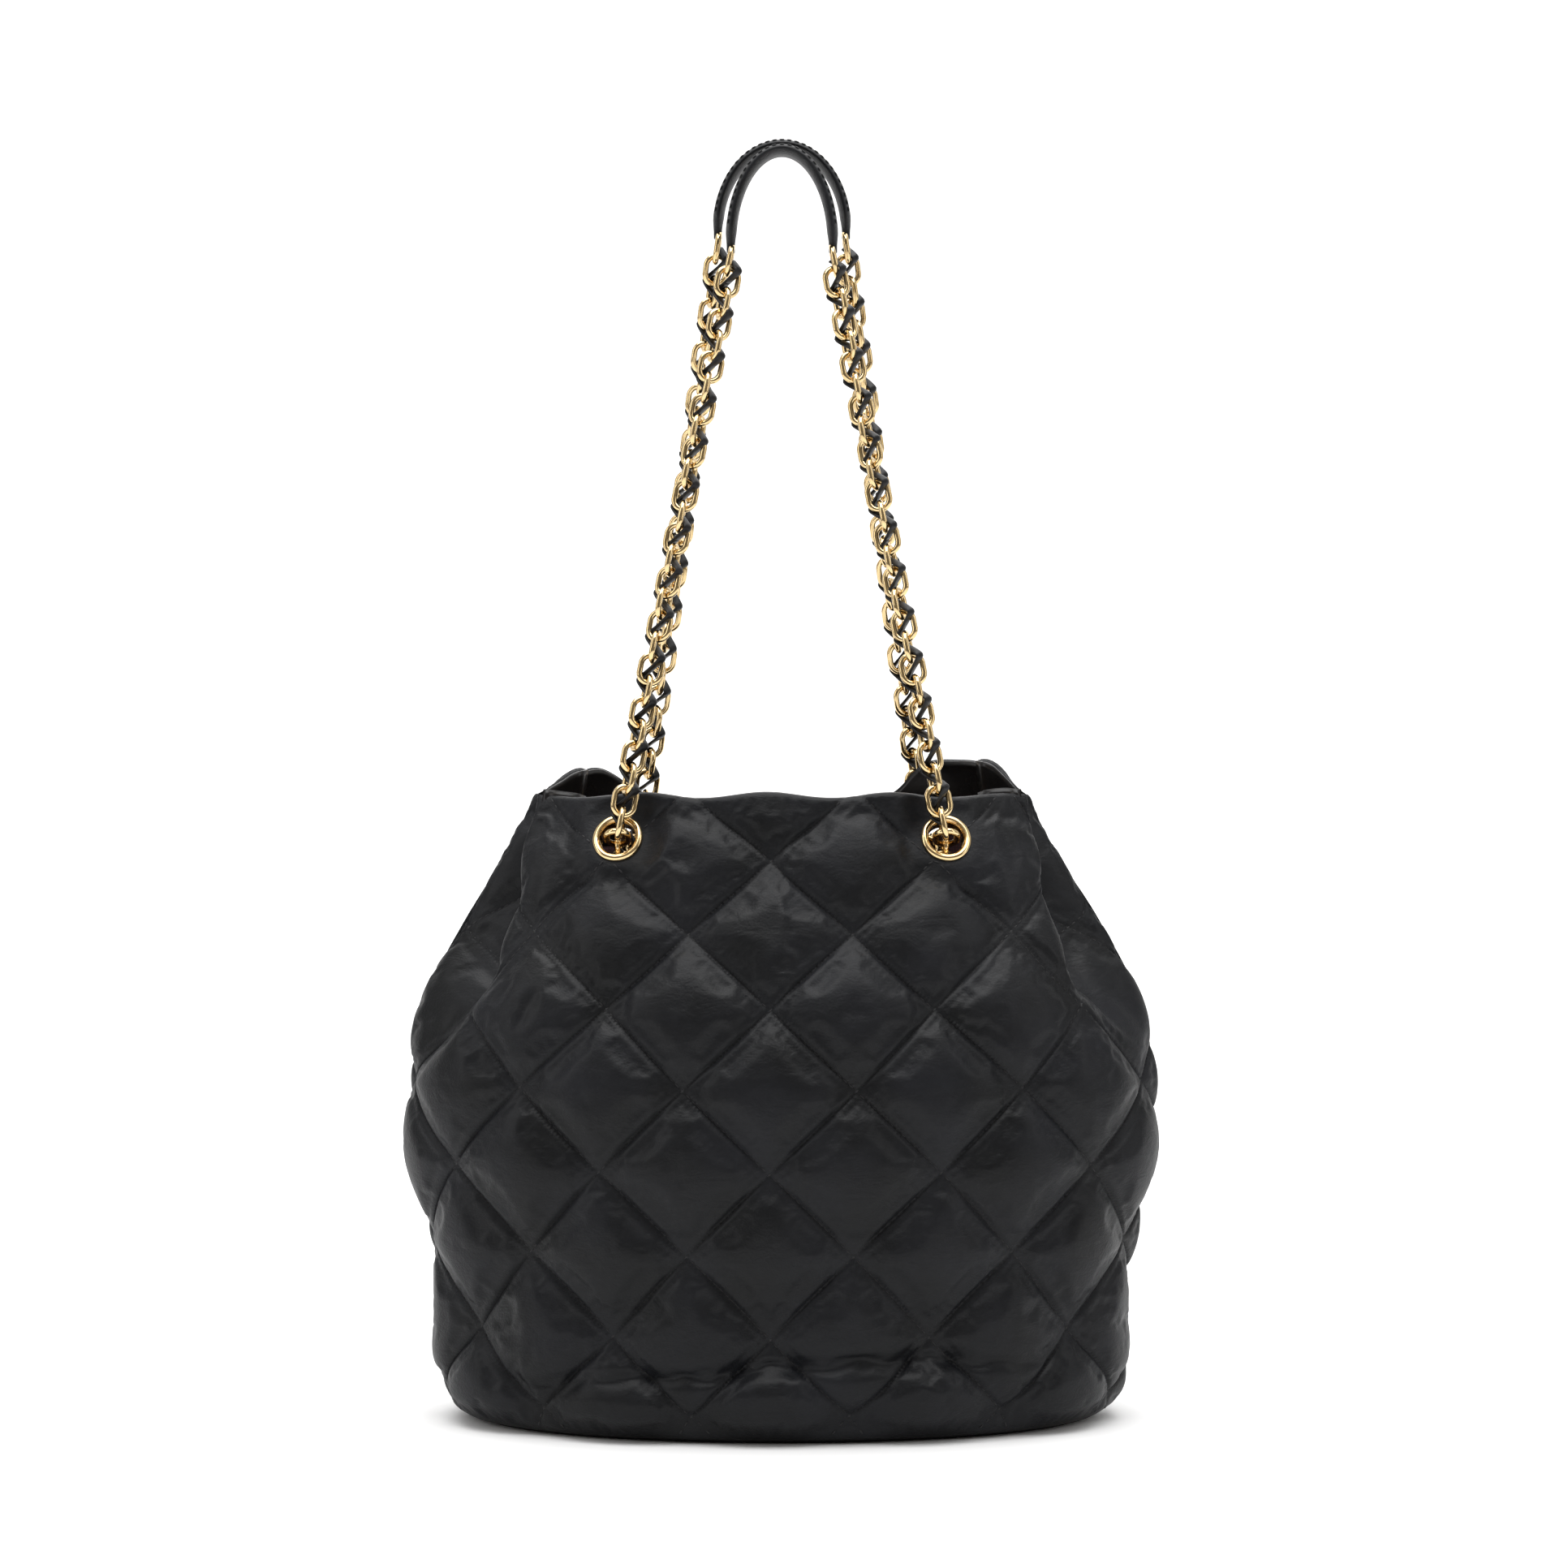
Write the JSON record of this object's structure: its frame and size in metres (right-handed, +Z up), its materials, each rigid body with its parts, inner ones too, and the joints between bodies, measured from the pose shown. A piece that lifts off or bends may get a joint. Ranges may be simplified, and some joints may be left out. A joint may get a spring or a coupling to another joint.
{
  "type": "bucket bag",
  "caption": "Quilted black leather bucket bag with chain handles laced with leather, shoulder pads and metal eyelets.",
  "frame": {"origin": "middle of the base, on the surface the bag stands on", "axes": "+Z up along the bag's height, +X to the right seen from the front, the front faces -Y"},
  "size_m": [0.3621, 0.193, 0.6141],
  "materials": {
    "leather": "black lambskin, softly glossy",
    "lace": "black leather thong, cut edges",
    "lining": "burgundy woven lining",
    "wadding": "white quilting wadding",
    "board": "grey-brown bag board",
    "gold_metal": "polished pale gold plate",
    "zip_tape": "woven zip tape",
    "zip_metal": "polished pale gold"
  },
  "bodies": {
    "bag": {"front_panel": "leather", "front_wadding": "wadding", "front_facing": "leather", "front_lining": "lining", "back_panel": "leather", "back_wadding": "wadding", "back_facing": "leather", "back_lining": "lining", "base_panel": "leather", "base_board": "board", "base_lining": "lining", "eyelet_front_left": "gold_metal", "eyelet_washer_front_left": "gold_metal", "eyelet_front_right": "gold_metal", "eyelet_washer_front_right": "gold_metal", "eyelet_back_left": "gold_metal", "eyelet_washer_back_left": "gold_metal", "eyelet_back_right": "gold_metal", "eyelet_washer_back_right": "gold_metal", "inner_chain_left": "gold_metal", "inner_lace_left": "lace", "inner_chain_right": "gold_metal", "inner_lace_right": "lace", "snap_stud": "gold_metal", "snap_socket": "gold_metal", "pocket_bag": "lining", "zip_tapes": "zip_tape", "zip_teeth": "zip_metal"},
    "front_lower_handle": {"front_chain_lower_left": "gold_metal", "front_lace_lower_left": "lace", "front_chain_lower_right": "gold_metal", "front_lace_lower_right": "lace"},
    "front_upper_handle": {"front_chain_upper_left": "gold_metal", "front_lace_upper_left": "lace", "front_chain_upper_right": "gold_metal", "front_lace_upper_right": "lace"},
    "front_pad": {"front_shoulder_pad": "leather", "front_pad_links": "gold_metal"},
    "back_lower_handle": {"back_chain_lower_left": "gold_metal", "back_lace_lower_left": "lace", "back_chain_lower_right": "gold_metal", "back_lace_lower_right": "lace"},
    "back_upper_handle": {"back_chain_upper_left": "gold_metal", "back_lace_upper_left": "lace", "back_chain_upper_right": "gold_metal", "back_lace_upper_right": "lace"},
    "back_pad": {"back_shoulder_pad": "leather", "back_pad_links": "gold_metal"},
    "zip_slider": {"zip_slider": "zip_metal"},
    "zip_puller": {"zip_puller": "zip_metal"}
  },
  "joints": [
    {"name": "front_handle_swing", "type": "hinge", "parent": "bag", "child": "front_lower_handle", "pos_m": [0, -0.05325, 0.28108], "axis": [1, 0, 0], "range_deg": [0, 115]},
    {"name": "front_chain_fold", "type": "hinge", "parent": "front_lower_handle", "child": "front_upper_handle", "pos_m": [0, -0.03122, 0.42529], "axis": [1, 0, 0], "range_deg": [0, 60]},
    {"name": "front_pad_tilt", "type": "hinge", "parent": "front_upper_handle", "child": "front_pad", "pos_m": [0, -0.01234, 0.5489], "axis": [1, 0, 0], "range_deg": [0, 45]},
    {"name": "back_handle_swing", "type": "hinge", "parent": "bag", "child": "back_lower_handle", "pos_m": [0, 0.05265, 0.28871], "axis": [-1, 0, 0], "range_deg": [0, 115]},
    {"name": "back_chain_fold", "type": "hinge", "parent": "back_lower_handle", "child": "back_upper_handle", "pos_m": [0, 0.03093, 0.43414], "axis": [-1, 0, 0], "range_deg": [0, 60]},
    {"name": "back_pad_tilt", "type": "hinge", "parent": "back_upper_handle", "child": "back_pad", "pos_m": [0, 0.01232, 0.55879], "axis": [-1, 0, 0], "range_deg": [0, 45]},
    {"name": "zip_slide", "type": "slide", "parent": "bag", "child": "zip_slider", "axis": [1, 0, 0], "range_m": [0, 0.086]},
    {"name": "zip_pull", "type": "hinge", "parent": "zip_slider", "child": "zip_puller", "pos_m": [-0.043, 0.03819, 0.243], "axis": [-1, 0, 0], "range_deg": [0, 100]}
  ]
}
